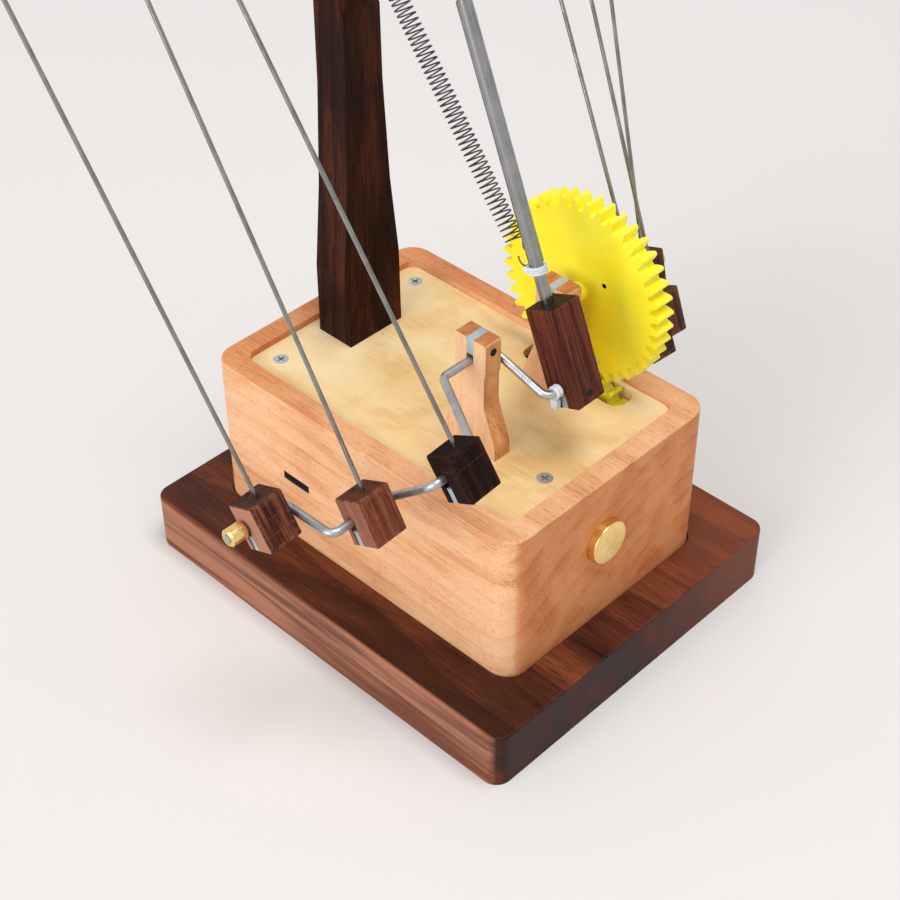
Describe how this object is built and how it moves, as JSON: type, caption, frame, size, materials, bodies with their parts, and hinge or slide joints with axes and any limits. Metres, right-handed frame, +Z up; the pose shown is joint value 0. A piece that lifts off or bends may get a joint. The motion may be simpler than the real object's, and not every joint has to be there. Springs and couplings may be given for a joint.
{
  "type": "crank automaton",
  "caption": "Tabletop wooden automaton: a motor-driven cranked wire on two posts lifts blocks with rods over a box on a tray.",
  "frame": {"origin": "centre of the tray's flat underside", "axes": "+X along the cranked wire, -Y the button side, +Z up"},
  "size_m": [0.1972, 0.1464, 0.2152],
  "materials": {
    "walnut_base": "oiled, dark red-brown",
    "beech": "oiled, light tan",
    "birch": "bare, pale yellow",
    "post_beech": "oiled, orange tan",
    "walnut": "oiled, dark brown",
    "rosewood": "oiled, near black with red streaks",
    "steel": "bright zinc",
    "wire": "drawn wire",
    "rod_steel": "drawn tube, grey",
    "spring_steel": "dark music wire",
    "brass": "polished",
    "yellow_plastic": "bright yellow, printed",
    "keeper_grey": "light grey",
    "black_plastic": "black",
    "white_nylon": "milky white nylon",
    "socket_metal": "nickel",
    "board_green": "green mask",
    "cell_silver": "silver foil"
  },
  "bodies": {
    "stand": {"base_tray": "walnut_base", "tray_screws": "steel", "box_frame": "beech", "top_plate": "birch", "plate_screws": "steel", "post_left": "post_beech", "post_right": "post_beech", "post_keeper_left": "keeper_grey", "post_keeper_right": "keeper_grey", "post_pin_left": "black_plastic", "post_pin_right": "black_plastic", "column": "walnut", "column_screws": "steel", "spring_eye": "steel", "motor_gearbox": "brass", "motor_can": "steel", "motor_bracket": "steel", "motor_screws": "steel", "switch_housing": "black_plastic", "button_switch": "black_plastic", "usb_socket": "socket_metal", "control_board": "board_green", "board_standoffs": "white_nylon", "battery": "cell_silver", "spring": "spring_steel"},
    "crank": {"crankshaft": "wire", "collar_left": "brass", "collar_right": "brass", "drive_gear": "yellow_plastic", "gear_spacer": "yellow_plastic", "wire_tie": "white_nylon"},
    "pinion_gear": {"pinion": "yellow_plastic", "motor_shaft": "steel"},
    "main_link": {"main_block": "rosewood", "main_keeper": "keeper_grey", "main_pin": "black_plastic", "main_rod": "rod_steel", "main_sleeve": "rod_steel", "rod_tie": "white_nylon"},
    "button": {"touch_button": "brass"},
    "link_1": {"block_1": "walnut", "keeper_1": "keeper_grey", "rod_1": "wire"},
    "link_2": {"block_2": "walnut", "keeper_2": "keeper_grey", "rod_2": "wire"},
    "link_3": {"block_3": "walnut", "keeper_3": "keeper_grey", "rod_3": "wire"},
    "link_4": {"block_4": "walnut", "keeper_4": "keeper_grey", "rod_4": "wire"},
    "link_5": {"block_5": "walnut", "keeper_5": "keeper_grey", "rod_5": "wire"},
    "link_6": {"block_6": "walnut", "keeper_6": "keeper_grey", "rod_6": "wire"}
  },
  "joints": [
    {"name": "crank_turn", "type": "hinge", "parent": "stand", "child": "crank", "pos_m": [0.0015, -0.0217, 0.0979], "axis": [1, 0, 0], "continuous": true, "deforming": ["spring"]},
    {"name": "pinion_turn", "type": "hinge", "parent": "stand", "child": "pinion_gear", "pos_m": [0.02675, -0.02717, 0.05899], "axis": [1, 0, 0], "continuous": true},
    {"name": "main_pivot", "type": "hinge", "parent": "crank", "child": "main_link", "pos_m": [0.0015, -0.0423, 0.09176], "axis": [1, 0, 0], "continuous": true},
    {"name": "pivot_1", "type": "hinge", "parent": "crank", "child": "link_1", "pos_m": [-0.084, -0.01109, 0.07828], "axis": [1, 0, 0], "continuous": true},
    {"name": "pivot_2", "type": "hinge", "parent": "crank", "child": "link_2", "pos_m": [-0.0651, -0.03051, 0.07983], "axis": [1, 0, 0], "continuous": true},
    {"name": "pivot_3", "type": "hinge", "parent": "crank", "child": "link_3", "pos_m": [-0.0499, -0.04895, 0.09628], "axis": [1, 0, 0], "continuous": true},
    {"name": "pivot_4", "type": "hinge", "parent": "crank", "child": "link_4", "pos_m": [0.0495, -0.02798, 0.0736], "axis": [1, 0, 0], "continuous": true},
    {"name": "pivot_5", "type": "hinge", "parent": "crank", "child": "link_5", "pos_m": [0.065, -0.02009, 0.06995], "axis": [1, 0, 0], "continuous": true},
    {"name": "pivot_6", "type": "hinge", "parent": "crank", "child": "link_6", "pos_m": [0.081, -0.00075, 0.06753], "axis": [1, 0, 0], "continuous": true},
    {"name": "button_press", "type": "slide", "parent": "stand", "child": "button", "axis": [0, 1, 0], "range_m": [0, 0.0008], "stiffness_N_per_m": 600}
  ],
  "couplings": [
    {"joint": "pinion_turn", "follows": "crank_turn", "ratio": -2.3529},
    {"joint": "main_pivot", "follows": "crank_turn", "ratio": -1},
    {"joint": "pivot_1", "follows": "crank_turn", "ratio": -1},
    {"joint": "pivot_2", "follows": "crank_turn", "ratio": -1},
    {"joint": "pivot_3", "follows": "crank_turn", "ratio": -1},
    {"joint": "pivot_4", "follows": "crank_turn", "ratio": -1},
    {"joint": "pivot_5", "follows": "crank_turn", "ratio": -1},
    {"joint": "pivot_6", "follows": "crank_turn", "ratio": -1}
  ]
}
